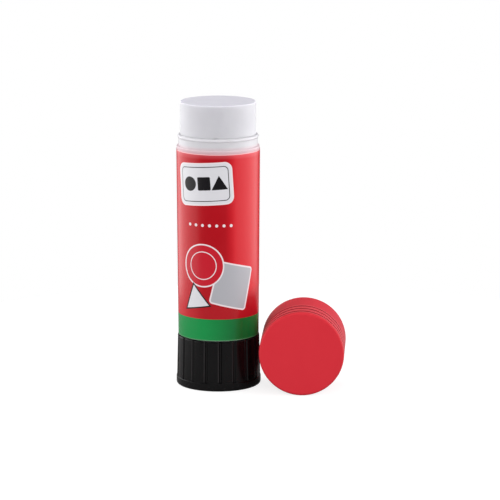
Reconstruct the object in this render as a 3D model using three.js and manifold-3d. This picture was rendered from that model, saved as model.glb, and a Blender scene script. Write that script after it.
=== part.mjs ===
// A twist-up glue stick, standing on its knob with the glue wound part of the way out.
// Its cap has been taken off and lies on its side next to the knob.
// Sizes are in millimetres and +Z is up. The origin is the middle of the knob's flat foot.
// Turning the knob anticlockwise, seen from above, winds the glue up.

import * as THREE from 'three';
import { mergeVertices } from 'three/addons/utils/BufferGeometryUtils.js';
import Module from 'manifold-3d';

const wasm = await Module();
wasm.setup();

// Clearances
const fitGap = 0.3;
const slideGap = 0.2;
const threadGap = 0.25;
const filmGap = 0.03;

// Glue
const glueRadius = 13.6;
const glueEdgeRound = 0.45;
const glueAboveSpindle = 3.5;
const glueBelowMouth = 0.3;
const turnsOut = 3;

// Tube
const tubeHeight = 68.9;
const tubeWallAtShoulder = 1.06;
const tubeWallAtFoot = 0.61;
const tubeFloorThickness = 1.3;
const shoulderRound = 0.3;
const neckHeight = 4.1;
const neckWall = 0.4;
const mouthBevel = 0.15;
const beadDrop = 0.72;
const beadStandsOut = 0.35;
const beadFlat = 0.3;
const beadFlank = 0.4;
const ribWidth = 1.2;
const ribDepth = 0.6;
const ribCount = 4;
const ribEndsBelowMouth = 12.0;

// Collar, the tube's lower end, which the knob snaps on to
const collarInset = 1.41;
const collarWall = 1.0;
const collarAboveKnobFloor = 4.4;
const snapFromEnd = 2.9;
const snapStandsOut = 0.4;
const snapFlat = 0.4;
const snapFlank = 0.6;

// Label, a printed film round the tube
const labelThickness = 0.11;
const labelAboveTubeFoot = 0.1;
const labelBelowShoulder = 1.2;

// Knob
const knobHeight = 18.2;
const knobFloorThickness = 1.6;
const knobWallAtTop = 1.45;
const knobWallAtRim = 1.8;
const knobTopBevel = 0.25;
const rimHeight = 3.0;
const rimStandsOut = 0.18;
const rimRound = 0.9;
const fluteCount = 18;
const fluteWidth = 0.9;
const fluteFloorWidth = 0.5;
const fluteDepth = 0.45;
const firstFluteDegrees = -83.6;
const socketWall = 2.2;

// Spindle, the screw that lifts the glue
const threadLead = 4.0;
const threadCoreRadius = 2.9;
const threadDepth = 0.9;
const ridgeFootWidth = 2.2;
const ridgeCrestWidth = 1.0;
const journalRadius = 3.9;
const flangeRadius = 6.2;
const flangeThickness = 1.6;
const splineCount = 8;
const splineRootShare = 0.64;
const splineTipShare = 0.4;
const splineRootRadius = 3.9;
const splineTipRadius = 4.7;
const spindleTipLength = 1.0;
const spindleTipRootRadius = 2.6;
const spindleTipEndRadius = 1.4;

// Carrier, the cup that holds the foot of the glue
const carrierHeight = 9.0;
const carrierFloorThickness = 1.2;
const carrierWall = 1.2;
const carrierAboveFloor = 0.6;
const carrierStopsBelowMouth = 4.0;
const hubWall = 1.55;
const finCount = 4;
const finThickness = 0.9;
const finHeight = 6.0;

// Cap
const capLength = 25.8;
const capWallAtMouth = 0.5;
const capEndThickness = 1.4;
const capEndRound = 0.8;
const capLipRound = 0.2;
const capGrooveCount = 3;
const firstCapGroove = 3.0;
const capGrooveSpacing = 4.1;
const capGrooveWidth = 1.6;
const capGrooveDepth = 0.4;
const capBeadGap = 0.15;
const catchStandsIn = 0.3;
const catchFlat = 0.4;
const catchFlank = 0.6;
const catchBelowBead = 0.2;
const capSealInset = 0.8;
const capInnerDraft = 0.2;
const capMouthY = 7.0;

// How finely round things are cut
const roundSteps = 48;
const threadSteps = 16;
const bevelSteps = 3;

// How far a cutter runs past what it cuts
const cutPast = 1.0;

// Heights that follow from the sizes above
const tubeFootZ = knobHeight + fitGap;
const tubeFloorZ = tubeFootZ + tubeFloorThickness;
const shoulderZ = tubeFootZ + tubeHeight;
const mouthZ = shoulderZ + neckHeight;
const collarEndZ = knobFloorThickness + collarAboveKnobFloor;
const snapZ = collarEndZ + snapFromEnd;
const beadZ = mouthZ - beadDrop;
const ribEndZ = mouthZ - ribEndsBelowMouth;
const woundOut = turnsOut * threadLead;
const carrierZ = tubeFloorZ + carrierAboveFloor + woundOut;
const carrierTopZ = carrierZ + carrierHeight;
const glueTopZ = mouthZ - glueBelowMouth + woundOut;
const spindleTopZ = mouthZ - carrierStopsBelowMouth;
const threadTopZ = spindleTopZ - spindleTipLength;
const flangeTopZ = tubeFootZ - fitGap;
const flangeZ = flangeTopZ - flangeThickness;
const splineEndZ = knobFloorThickness + fitGap;
const socketTopZ = flangeZ - fitGap;

// Radii that follow from the sizes above
const boreRadius = glueRadius + slideGap;
const neckRadius = boreRadius + neckWall;
const beadRadius = neckRadius + beadStandsOut;
const tubeRadiusAtShoulder = boreRadius + tubeWallAtShoulder;
const tubeRadiusAtFoot = boreRadius + tubeWallAtFoot;
const collarRadius = tubeRadiusAtFoot - collarInset;
const ribInnerRadius = boreRadius - ribDepth;
const notchRadius = ribInnerRadius - fitGap;
const notchWidth = ribWidth + 2 * fitGap;
const knobBoreRadius = collarRadius + fitGap;
const rimRadius = knobBoreRadius + knobWallAtRim + rimStandsOut;
const threadCrestRadius = threadCoreRadius + threadDepth;
const floorHoleRadius = journalRadius + fitGap;
const carrierRadius = boreRadius - fitGap;
const cupRadius = carrierRadius - carrierWall;
const hubRadius = threadCrestRadius + threadGap + hubWall;
const capBoreRadius = beadRadius + capBeadGap;
const capRadius = capBoreRadius + capWallAtMouth;
const capAxisX = rimRadius + capRadius + fitGap;

// Radius of the tube's drafted outside at a height
function tubeRadiusAt(z) {
  const share = (z - tubeFootZ) / tubeHeight;
  return THREE.MathUtils.lerp(tubeRadiusAtFoot, tubeRadiusAtShoulder, share);
}

// A closed geometry as a solid that can be joined and cut
function solidOf(geometry) {
  const bare = geometry.clone();
  bare.deleteAttribute('normal');
  bare.deleteAttribute('uv');
  const merged = mergeVertices(bare, 1e-4);
  const corners = merged.index.array;
  const kept = [];
  for (let i = 0; i < corners.length; i += 3) {
    const [a, b, c] = corners.subarray(i, i + 3);
    if (a !== b && b !== c && c !== a) kept.push(a, b, c);
  }
  return new wasm.Manifold(new wasm.Mesh({
    numProp: 3,
    vertProperties: new Float32Array(merged.attributes.position.array),
    triVerts: new Uint32Array(kept),
  }));
}

// A solid turned back into a geometry
function geometryOf(solid) {
  const mesh = solid.getMesh();
  const geometry = new THREE.BufferGeometry();
  geometry.setAttribute('position', new THREE.BufferAttribute(mesh.vertProperties, 3));
  geometry.setIndex(new THREE.BufferAttribute(mesh.triVerts, 1));
  return geometry;
}

// A profile of [radius, height] pairs, turned about the Z axis
function turned(profile) {
  const points = profile.map(([radius, z]) => new THREE.Vector2(radius, z));
  return new THREE.LatheGeometry(points, roundSteps).rotateX(Math.PI / 2);
}

// A plain cylinder about the Z axis, from one height to another
function cylinder(radius, fromZ, toZ) {
  const height = toZ - fromZ;
  const geometry = new THREE.CylinderGeometry(radius, radius, height, roundSteps).rotateX(Math.PI / 2);
  return geometry.translate(0, 0, fromZ + height / 2);
}

// An upright bar that reaches outwards between two radii, at an angle round the Z axis
function radialBar(innerRadius, outerRadius, width, fromZ, toZ, angle) {
  const bar = new THREE.BoxGeometry(outerRadius - innerRadius, width, toZ - fromZ);
  bar.translate((innerRadius + outerRadius) / 2, 0, (fromZ + toZ) / 2);
  return bar.rotateZ(angle);
}

// Points on a quarter circle between two ends, for a rounded edge in a profile
function quarterRound(centre, radius, startAngle) {
  const points = [];
  for (let step = 0; step <= bevelSteps; step += 1) {
    const angle = startAngle + (step / bevelSteps) * (Math.PI / 2);
    points.push([centre[0] + radius * Math.cos(angle), centre[1] + radius * Math.sin(angle)]);
  }
  return points;
}

// A raised ring in a profile: foot, crest, crest, foot, going up
function raisedRing(wallRadius, standsOut, middleZ, flat, flank) {
  return [
    [wallRadius, middleZ - flat / 2 - flank],
    [wallRadius + standsOut, middleZ - flat / 2],
    [wallRadius + standsOut, middleZ + flat / 2],
    [wallRadius, middleZ + flat / 2 + flank],
  ];
}

// A rod with a left-hand ridge wound round it, cut square at both ends.
// The ridge keeps its place when grow makes the rod fatter, so a nut cut with it fits the thread.
function threadedRod(grow, fromZ, toZ) {
  const core = threadCoreRadius + grow;
  const crest = threadCrestRadius + grow;
  const halfFoot = ridgeFootWidth / 2 + grow;
  const halfCrest = ridgeCrestWidth / 2 + grow;
  const section = [[core, -halfFoot], [crest, -halfCrest], [crest, halfCrest], [core, halfFoot]];
  const firstTurn = Math.floor(fromZ / threadLead) - 2;
  const lastTurn = Math.ceil(toZ / threadLead) + 1;
  const rows = (lastTurn - firstTurn) * threadSteps;
  const startZ = firstTurn * threadLead;
  const positions = [];
  const pointAt = (row, [radius, lift]) => {
    const angle = (-2 * Math.PI * row) / threadSteps;
    const z = startZ + (row / threadSteps) * threadLead + lift;
    positions.push(radius * Math.cos(angle), radius * Math.sin(angle), z);
  };
  for (let row = 0; row <= rows; row += 1) {
    for (const corner of section) pointAt(row, corner);
  }
  for (let row = rows + 1; row <= rows + threadSteps; row += 1) pointAt(row, section[0]);
  const bottom = positions.length / 3;
  positions.push(0, 0, startZ - halfFoot + threadLead / 2);
  const top = bottom + 1;
  positions.push(0, 0, startZ + rows / threadSteps * threadLead - halfFoot + threadLead / 2);

  // The fourth side of the section is the core up to where the ridge comes round again.
  const vertex = (row, side) => {
    if (side === section.length) return vertex(row + threadSteps, 0);
    if (row <= rows) return row * section.length + side;
    return rows * section.length + section.length - 1 + row - rows;
  };
  const faces = [];
  for (let row = 0; row < rows; row += 1) {
    for (let side = 0; side < section.length; side += 1) {
      const a = vertex(row, side);
      const b = vertex(row + 1, side);
      const c = vertex(row + 1, side + 1);
      const d = vertex(row, side + 1);
      faces.push(a, c, b, a, d, c);
    }
  }
  for (let step = 0; step < threadSteps; step += 1) {
    faces.push(vertex(step, 0), vertex(step + 1, 0), bottom);
    faces.push(vertex(rows + step + 1, 0), vertex(rows + step, 0), top);
  }
  for (let side = 0; side < section.length; side += 1) {
    faces.push(vertex(0, side + 1), vertex(0, side), bottom);
    faces.push(vertex(rows, side), vertex(rows, side + 1), top);
  }
  const geometry = new THREE.BufferGeometry();
  geometry.setAttribute('position', new THREE.Float32BufferAttribute(positions, 3));
  geometry.setIndex(faces);
  return solidOf(geometry).intersect(solidOf(cylinder(crest + cutPast, fromZ, toZ)));
}

// A splined bar about the Z axis, which turns whatever it is pushed into
function splinedBar(grow, fromZ, toZ) {
  const outline = new THREE.Shape();
  const pitch = (2 * Math.PI) / splineCount;
  for (let tooth = 0; tooth < splineCount; tooth += 1) {
    const corners = [
      [-splineRootShare / 2, splineRootRadius],
      [-splineTipShare / 2, splineTipRadius],
      [splineTipShare / 2, splineTipRadius],
      [splineRootShare / 2, splineRootRadius],
    ];
    for (const [share, radius] of corners) {
      const angle = (tooth + share) * pitch;
      const x = (radius + grow) * Math.cos(angle);
      const y = (radius + grow) * Math.sin(angle);
      if (tooth === 0 && share === corners[0][0]) outline.moveTo(x, y);
      else outline.lineTo(x, y);
    }
  }
  const bar = new THREE.ExtrudeGeometry(outline, { depth: toZ - fromZ, bevelEnabled: false });
  return solidOf(bar.translate(0, 0, fromZ));
}

// Tube: bore for the glue, neck with its bead, floor with the spindle's hole, and snap collar
function makeTube() {
  const collarInnerRadius = collarRadius - collarWall;
  let tube = solidOf(turned([
    [collarInnerRadius, collarEndZ],
    [collarRadius - collarWall / 3, collarEndZ],
    [collarRadius, collarEndZ + collarWall / 3],
    ...raisedRing(collarRadius, snapStandsOut, snapZ, snapFlat, snapFlank),
    [collarRadius, tubeFootZ],
    [tubeRadiusAtFoot, tubeFootZ],
    ...quarterRound([tubeRadiusAtShoulder - shoulderRound, shoulderZ - shoulderRound], shoulderRound, 0),
    [neckRadius, shoulderZ],
    ...raisedRing(neckRadius, beadStandsOut, beadZ, beadFlat, beadFlank),
    [neckRadius, mouthZ - mouthBevel],
    [neckRadius - mouthBevel, mouthZ],
    [boreRadius + mouthBevel / 2, mouthZ],
    [boreRadius, mouthZ - mouthBevel],
    [boreRadius, tubeFloorZ],
    [floorHoleRadius, tubeFloorZ],
    [floorHoleRadius, tubeFootZ],
    [collarInnerRadius, tubeFootZ],
    [collarInnerRadius, collarEndZ],
  ]));
  const ribRootRadius = boreRadius + tubeWallAtFoot / 2;
  for (let rib = 0; rib < ribCount; rib += 1) {
    const angle = (rib / ribCount) * 2 * Math.PI;
    const fromZ = tubeFootZ + tubeFloorThickness / 2;
    tube = tube.add(solidOf(radialBar(ribInnerRadius, ribRootRadius, ribWidth, fromZ, ribEndZ, angle)));
  }
  return geometryOf(tube);
}

// Label: one turn of film on the tube's drafted wall
function makeLabel() {
  const fromZ = tubeFootZ + labelAboveTubeFoot;
  const toZ = shoulderZ - labelBelowShoulder;
  const innerFoot = tubeRadiusAt(fromZ) + filmGap;
  const innerTop = tubeRadiusAt(toZ) + filmGap;
  return turned([
    [innerFoot, fromZ],
    [innerFoot + labelThickness, fromZ],
    [innerTop + labelThickness, toZ],
    [innerTop, toZ],
    [innerFoot, fromZ],
  ]);
}

// Knob: fluted cup with a smooth rim at the foot, a snap groove and a splined socket
function makeKnob() {
  const topRadius = knobBoreRadius + knobWallAtTop;
  const bodyRadius = knobBoreRadius + knobWallAtRim;
  const grooveRadius = collarRadius + snapStandsOut + fitGap;
  const groove = raisedRing(knobBoreRadius, grooveRadius - knobBoreRadius, snapZ,
    snapFlat + 2 * fitGap, snapFlank);
  let knob = solidOf(turned([
    [0, 0],
    ...quarterRound([rimRadius - rimRound, rimRound], rimRound, -Math.PI / 2),
    [rimRadius, rimHeight - rimStandsOut],
    [bodyRadius, rimHeight],
    [topRadius, knobHeight - knobTopBevel],
    [topRadius - knobTopBevel, knobHeight],
    [knobBoreRadius, knobHeight],
    ...groove.reverse(),
    [knobBoreRadius, knobFloorThickness],
    [0, knobFloorThickness],
  ]));

  // The flutes lean in with the drafted wall, so they are one depth from the rim to the top.
  // Their sides slope, and the cutter goes as far outside the wall as it goes into it.
  const wallHeight = knobHeight - rimHeight;
  const lean = Math.atan2(bodyRadius - topRadius, wallHeight);
  const section = new THREE.Shape([
    new THREE.Vector2(-fluteDepth, -fluteFloorWidth / 2),
    new THREE.Vector2(fluteDepth, -fluteWidth + fluteFloorWidth / 2),
    new THREE.Vector2(fluteDepth, fluteWidth - fluteFloorWidth / 2),
    new THREE.Vector2(-fluteDepth, fluteFloorWidth / 2),
  ]);
  for (let flute = 0; flute < fluteCount; flute += 1) {
    const angle = THREE.MathUtils.degToRad(firstFluteDegrees) + (flute / fluteCount) * 2 * Math.PI;
    const cutter = new THREE.ExtrudeGeometry(section, { depth: wallHeight + cutPast, bevelEnabled: false });
    cutter.rotateY(-lean).translate(bodyRadius, 0, rimHeight).rotateZ(angle);
    knob = knob.subtract(solidOf(cutter));
  }

  const socketRadius = splineTipRadius + fitGap + socketWall;
  const post = solidOf(cylinder(socketRadius, knobFloorThickness / 2, socketTopZ));
  knob = knob.add(post);
  return geometryOf(knob.subtract(splinedBar(fitGap, knobFloorThickness, socketTopZ + cutPast)));
}

// Spindle: splined foot, flange under the tube's floor, journal in the floor's hole, screw
function makeSpindle() {
  const foot = splinedBar(0, splineEndZ, flangeZ + flangeThickness / 2);
  const threadFromZ = tubeFloorZ + fitGap;
  const shank = solidOf(turned([
    [0, flangeZ],
    [flangeRadius, flangeZ],
    [flangeRadius, flangeTopZ],
    [journalRadius, flangeTopZ],
    [journalRadius, threadFromZ],
    [0, threadFromZ],
  ]));
  const screw = threadedRod(0, threadFromZ - fitGap, threadTopZ);
  const tip = solidOf(turned([
    [0, threadTopZ - spindleTipLength],
    [spindleTipRootRadius, threadTopZ - spindleTipLength],
    [spindleTipRootRadius, threadTopZ],
    [spindleTipEndRadius, spindleTopZ],
    [0, spindleTopZ],
  ]));
  return geometryOf(foot.add(shank).add(screw).add(tip));
}

// Carrier: cup with a nut in the middle, fins that grip the glue, and notches for the tube's ribs
function makeCarrier() {
  const floorTopZ = carrierZ + carrierFloorThickness;
  let carrier = solidOf(turned([
    [0, carrierZ],
    [carrierRadius, carrierZ],
    [carrierRadius, carrierTopZ],
    [cupRadius, carrierTopZ],
    [cupRadius, floorTopZ],
    [0, floorTopZ],
  ]));
  carrier = carrier.add(solidOf(cylinder(hubRadius, carrierZ + carrierFloorThickness / 2, carrierTopZ)));
  for (let fin = 0; fin < finCount; fin += 1) {
    const angle = ((fin + 0.5) / finCount) * 2 * Math.PI;
    const bar = radialBar(hubRadius - hubWall / 2, cupRadius + carrierWall / 2, finThickness,
      floorTopZ - carrierFloorThickness / 2, floorTopZ + finHeight, angle);
    carrier = carrier.add(solidOf(bar));
  }
  for (let rib = 0; rib < ribCount; rib += 1) {
    const angle = (rib / ribCount) * 2 * Math.PI;
    const notch = radialBar(notchRadius, boreRadius + cutPast, notchWidth,
      carrierZ - cutPast, carrierTopZ + cutPast, angle);
    carrier = carrier.subtract(solidOf(notch));
  }
  return geometryOf(carrier.subtract(threadedRod(threadGap, carrierZ - cutPast, carrierTopZ + cutPast)));
}

// Glue: a cast stick, keyed to the cup, hollow round the spindle and grooved by the tube's ribs
function makeGlue() {
  const footZ = carrierZ + carrierFloorThickness + fitGap;
  const seatZ = carrierTopZ + fitGap;
  const wellRadius = threadCrestRadius + fitGap;
  const wellTopZ = glueTopZ - glueAboveSpindle;
  let glue = solidOf(turned([
    [0, wellTopZ],
    [wellRadius, wellTopZ],
    [wellRadius, seatZ],
    [hubRadius + fitGap, seatZ],
    [hubRadius + fitGap, footZ],
    [cupRadius - fitGap, footZ],
    [cupRadius - fitGap, seatZ],
    [glueRadius, seatZ],
    ...quarterRound([glueRadius - glueEdgeRound, glueTopZ - glueEdgeRound], glueEdgeRound, 0),
    [0, glueTopZ],
  ]));
  for (let fin = 0; fin < finCount; fin += 1) {
    const angle = ((fin + 0.5) / finCount) * 2 * Math.PI;
    const slotTopZ = carrierZ + carrierFloorThickness + finHeight + fitGap;
    const slot = radialBar(hubRadius - hubWall, carrierRadius, finThickness + 2 * fitGap,
      carrierZ, slotTopZ, angle);
    glue = glue.subtract(solidOf(slot));
  }
  for (let rib = 0; rib < ribCount; rib += 1) {
    const angle = (rib / ribCount) * 2 * Math.PI;
    const groove = radialBar(notchRadius, boreRadius + cutPast, notchWidth, carrierZ,
      ribEndZ + woundOut + fitGap, angle);
    glue = glue.subtract(solidOf(groove));
  }
  return geometryOf(glue);
}

// Cap: a deep cup with three fine grooves, a catch for the neck's bead and a seat for the mouth.
// Its profile runs from the closed end along the Y axis, and it lies on the table.
function makeCap() {
  const catchFromMouth = beadZ - beadFlat / 2 - beadFlank - shoulderZ - catchBelowBead;
  const seatFromMouth = neckHeight + fitGap;
  const sealRadius = capBoreRadius - capSealInset;
  const profile = [
    [0, 0],
    ...quarterRound([capRadius - capEndRound, capEndRound], capEndRound, -Math.PI / 2),
  ];
  for (let groove = 0; groove < capGrooveCount; groove += 1) {
    const middle = firstCapGroove + groove * capGrooveSpacing;
    const flank = capGrooveWidth / 3;
    profile.push(...raisedRing(capRadius, -capGrooveDepth, middle, flank, flank));
  }
  profile.push(
    [capRadius, capLength - capLipRound],
    [capRadius - capLipRound, capLength],
    [capBoreRadius + capLipRound / 2, capLength],
    [capBoreRadius, capLength - capLipRound],
    ...raisedRing(capBoreRadius, -catchStandsIn, capLength - catchFromMouth + catchFlat / 2 + catchFlank,
      catchFlat, catchFlank).reverse(),
    [capBoreRadius, capLength - seatFromMouth],
    [sealRadius, capLength - seatFromMouth],
    [sealRadius - capInnerDraft, capEndThickness],
    [0, capEndThickness],
  );
  const points = profile.map(([radius, along]) => new THREE.Vector2(radius, along));
  return new THREE.LatheGeometry(points, roundSteps).translate(0, -capLength, 0);
}

function piece(name, geometry, color, roughness) {
  const material = new THREE.MeshStandardMaterial({ color, roughness, metalness: 0 });
  const mesh = new THREE.Mesh(geometry, material);
  mesh.name = name;
  return mesh;
}

const cap = piece('cap', makeCap(), 0xcd2f3a, 0.3);
cap.position.set(capAxisX, capMouthY, capRadius);

const stick = new THREE.Group();
stick.add(
  piece('tube', makeTube(), 0xe9e9ec, 0.35),
  piece('label', makeLabel(), 0xcb333d, 0.25),
  piece('base_knob', makeKnob(), 0x181617, 0.35),
  piece('spindle', makeSpindle(), 0xe6e6e2, 0.4),
  piece('glue_carrier', makeCarrier(), 0xe6e6e2, 0.4),
  piece('glue', makeGlue(), 0xd8d6e2, 0.45),
);

const glueStick = new THREE.Group();
glueStick.add(stick, cap);

export default glueStick;
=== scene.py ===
# %% [markdown]
# # A twist-up glue stick with its cap off
#
# The stick stands on its black knob with the glue wound a little way out, and the cap lies beside it.
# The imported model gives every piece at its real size. This script dresses each of them with a fine mesh
# and a material, in the same frame: metres, +Z up, and the middle of the knob's foot at the origin.

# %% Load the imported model
import math

import bpy
import numpy as np
from mathutils import Matrix, Vector


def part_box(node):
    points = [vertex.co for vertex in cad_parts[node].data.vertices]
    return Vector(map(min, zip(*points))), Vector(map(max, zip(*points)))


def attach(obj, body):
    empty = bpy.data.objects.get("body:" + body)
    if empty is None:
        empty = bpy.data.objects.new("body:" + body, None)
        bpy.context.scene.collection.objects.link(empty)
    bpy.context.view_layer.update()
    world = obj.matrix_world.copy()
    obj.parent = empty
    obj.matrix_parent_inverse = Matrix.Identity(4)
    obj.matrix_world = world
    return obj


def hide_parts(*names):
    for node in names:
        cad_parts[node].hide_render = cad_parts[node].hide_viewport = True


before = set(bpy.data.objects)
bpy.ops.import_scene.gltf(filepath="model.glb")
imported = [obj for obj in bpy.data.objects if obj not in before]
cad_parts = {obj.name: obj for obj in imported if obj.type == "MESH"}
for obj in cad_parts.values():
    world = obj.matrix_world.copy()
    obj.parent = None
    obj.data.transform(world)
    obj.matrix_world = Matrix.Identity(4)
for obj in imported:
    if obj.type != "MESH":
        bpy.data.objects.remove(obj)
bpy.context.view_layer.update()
MM = 0.001
print("pieces in the model:", ", ".join(sorted(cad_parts)))

# %% [markdown]
# ## The camera
#
# The photograph looks slightly down on the stick, with the cap to its right. A long lens from a metre
# away gives its flat perspective. The camera is turned about an aim point near the middle of the picture.

# %% Camera
AIM = Vector((0.01137, 0.00078, 0.0489))
AZIMUTH = math.radians(3.25)
ELEVATION = math.radians(11.46)
DISTANCE = 1.0
LENS_MM = 199.7
SENSOR_MM = 36


def direction(azimuth, elevation):
    """From the aim point back towards a viewer; azimuth 0 looks along +Y."""
    flat = math.cos(elevation)
    return Vector((math.sin(azimuth) * flat, -math.cos(azimuth) * flat, math.sin(elevation)))


def looking(obj, place, target):
    """Puts a camera or a lamp at a place, turned towards a target."""
    obj.location = place
    obj.rotation_euler = (target - place).to_track_quat("-Z", "Y").to_euler()
    bpy.context.scene.collection.objects.link(obj)
    return obj


camera_data = bpy.data.cameras.new("camera")
camera_data.lens = LENS_MM
camera_data.sensor_width = SENSOR_MM
camera_place = AIM + DISTANCE * direction(AZIMUTH, ELEVATION)
camera = looking(bpy.data.objects.new("camera", camera_data), camera_place, AIM)
bpy.context.scene.camera = camera
print("camera at", [round(value, 4) for value in camera.location])

# %% [markdown]
# ## Small helpers for nodes
#
# Materials and Geometry Nodes are both trees of nodes. `Tree.add` makes any node from its type, its
# sockets and its settings, and `Value` wraps a socket so that sums can be written as Python expressions:
# each operator adds one Math node.

# %% Nodes
class Value:
    """What a socket gives. Every operation on a number adds a Math node to its tree."""

    def __init__(self, tree, socket):
        self.tree = tree
        self.socket = socket

    def math(self, operation, *others):
        return self.tree.math(operation, self, *others)

    def __add__(self, other):
        return self.math("ADD", other)

    def __sub__(self, other):
        return self.math("SUBTRACT", other)

    def __mul__(self, other):
        return self.math("MULTIPLY", other)

    def __truediv__(self, other):
        return self.math("DIVIDE", other)

    def __rsub__(self, other):
        return self.tree.math("SUBTRACT", other, self)

    def __rtruediv__(self, other):
        return self.tree.math("DIVIDE", other, self)

    def __abs__(self):
        return self.math("ABSOLUTE")

    __radd__ = __add__
    __rmul__ = __mul__

    def above(self, other):
        return self.math("MAXIMUM", other)

    def below(self, other):
        return self.math("MINIMUM", other)

    def hypot(self, other):
        """The long side of a triangle with a square corner."""
        return (self * self + other * other).math("SQRT")


class Tree:
    """A node tree, with one way to add a node of any type."""

    def __init__(self, tree, title=""):
        self.tree = tree
        self.title = title

    def add(self, kind, sockets=None, **settings):
        node = self.tree.nodes.new(kind)
        for name, setting in settings.items():
            if name == "stops":
                for _ in setting[2:]:
                    node.color_ramp.elements.new(0.5)
                for element, (place, colour) in zip(node.color_ramp.elements, setting):
                    element.position = place
                    element.color = colour
            else:
                setattr(node, name, setting)
        for name, value in (sockets or {}).items():
            source = getattr(value, "socket", value)
            if isinstance(source, bpy.types.NodeSocket):
                self.tree.links.new(source, node.inputs[name])
            else:
                node.inputs[name].default_value = source
        return node

    def value(self, kind, sockets=None, **settings):
        """What a new node gives first."""
        return Value(self, self.add(kind, sockets, **settings).outputs[0])

    def math(self, operation, *values):
        return self.value("ShaderNodeMath", dict(enumerate(values)), operation=operation)


def srgb(red, green, blue):
    """A colour as a screen shows it, from 0 to 255, as the linear colour that a shader wants."""
    shares = [channel / 255 for channel in (red, green, blue)]
    return (*[s / 12.92 if s <= 0.04045 else ((s + 0.055) / 1.055) ** 2.4 for s in shares], 1.0)


# %% [markdown]
# ## Profiles
#
# Nearly every piece of a glue stick is turned: the mould's cavities were cut on a lathe. So each piece
# starts as a profile of (radius, height) corners in millimetres. A real moulding has no sharp corners, and
# a highlight only sits on an edge that is round, so every corner carries the radius of its round, and
# `rounded` puts an arc there. `traced` adds points beside the arcs, which keeps smooth shading flat on the
# flat runs.

# %% Rounded profiles
ARC_STEPS = 4
MOST_OF_A_SIDE = 0.49
NEARLY_STRAIGHT = 0.01


def rounded(corners):
    """A line through (x, y, round) corners, with an arc at each inner corner whose round is above 0."""
    points = []
    for place, (x, y, radius) in enumerate(corners):
        here = np.array([x, y], float)
        if radius <= 0 or place in (0, len(corners) - 1):
            points.append(here)
            continue
        before = np.array(corners[place - 1][:2], float) - here
        after = np.array(corners[place + 1][:2], float) - here
        room = MOST_OF_A_SIDE * min(np.hypot(*before), np.hypot(*after))
        before /= np.hypot(*before)
        after /= np.hypot(*after)
        half = math.acos(max(-1.0, min(1.0, float(before @ after)))) / 2
        if half > math.pi / 2 - NEARLY_STRAIGHT:
            points.append(here)
            continue
        reach = min(radius / math.tan(half), room)
        centre = here + (before + after) / (2 * math.cos(half)) * reach / math.cos(half)
        first = here + before * reach - centre
        last = here + after * reach - centre
        turn = math.atan2(first[0] * last[1] - first[1] * last[0], float(first @ last))
        for step in range(ARC_STEPS + 1):
            angle = turn * step / ARC_STEPS
            cos, sin = math.cos(angle), math.sin(angle)
            swung = [cos * first[0] - sin * first[1], sin * first[0] + cos * first[1]]
            points.append(centre + np.array(swung))
    return np.array(points)


def traced(corners, widest=3.0, beside=0.12):
    """A rounded line with points added near both ends of each long run, and at most `widest` apart."""
    line = rounded(corners)
    points = [line[0]]
    for start, end in zip(line[:-1], line[1:]):
        length = float(np.hypot(*(end - start)))
        if length > 4 * beside:
            count = 2 + int((length - 2 * beside) // widest)
            inner = np.linspace(beside / length, 1 - beside / length, count)
            points += [start + (end - start) * share for share in inner]
        points.append(end)
    return np.array(points)


# %% [markdown]
# ## One sector, repeated round the axis
#
# A turned piece with ribs, flutes or teeth is the same sector over and over. The script makes one sector
# as a grid of rows and columns, and a Geometry Nodes tree sets copies of it round the Z axis, makes them
# real and merges their seams. A plain turned piece is one sector of a full turn.

# %% The tree that repeats a sector
def new_node_group(name, inputs):
    """A Geometry Nodes tree with a mesh in and out and further inputs, given as (name, kind)."""
    group = bpy.data.node_groups.new(name, "GeometryNodeTree")
    for title, kind in [("Geometry", "Geometry"), *inputs]:
        group.interface.new_socket(title, in_out="INPUT", socket_type="NodeSocket" + kind)
    group.interface.new_socket("Geometry", in_out="OUTPUT", socket_type="NodeSocketGeometry")
    tree = Tree(group)
    return group, tree, tree.add("NodeGroupInput").outputs


def end_tree(tree, geometry, material):
    """Sets the material and gives the geometry out."""
    finished = tree.value("GeometryNodeSetMaterial", {"Geometry": geometry, "Material": material})
    tree.add("NodeGroupOutput", {"Geometry": finished})


def make_round_tree():
    group, tree, given = new_node_group("repeat round the axis", [
        ("Copies", "Int"), ("Merge Distance", "Float"), ("Material", "Material")])
    points = tree.value("GeometryNodePoints", {"Count": given["Copies"]})
    turn = tree.value("GeometryNodeInputIndex") * (math.tau / Value(tree, given["Copies"]))
    turned = tree.value("ShaderNodeCombineXYZ", {"Z": turn})
    rotation = tree.value("FunctionNodeEulerToRotation", {"Euler": turned})
    copies = tree.value("GeometryNodeInstanceOnPoints", {
        "Points": points, "Instance": given["Geometry"], "Rotation": rotation})
    real = tree.value("GeometryNodeRealizeInstances", {"Geometry": copies})
    merged = tree.value("GeometryNodeMergeByDistance", {
        "Geometry": real, "Distance": given["Merge Distance"]})
    end_tree(tree, merged, given["Material"])
    return group


ROUND_TREE = make_round_tree()
MERGE_DISTANCE = 0.0015 * MM

# %% [markdown]
# ### From points to a finished piece
#
# A modifier runs a tree on a piece, and the result is kept as a plain mesh. `report` counts the edges that
# don't join two faces, and a closed piece has none.

# %% Meshes and pieces
SHARP_ANGLE = math.radians(38)
COLUMNS_ROUND = 192


def with_modifier(obj, kind, **settings):
    """The object's mesh as a modifier leaves it."""
    modifier = obj.modifiers.new("step", kind)
    inputs = settings.pop("inputs", {})
    for name, value in settings.items():
        setattr(modifier, name, value)
    for name, value in inputs.items():
        modifier[modifier.node_group.interface.items_tree[name].identifier] = value
    seen = obj.evaluated_get(bpy.context.evaluated_depsgraph_get())
    mesh = bpy.data.meshes.new_from_object(seen)
    obj.modifiers.remove(modifier)
    return mesh


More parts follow.
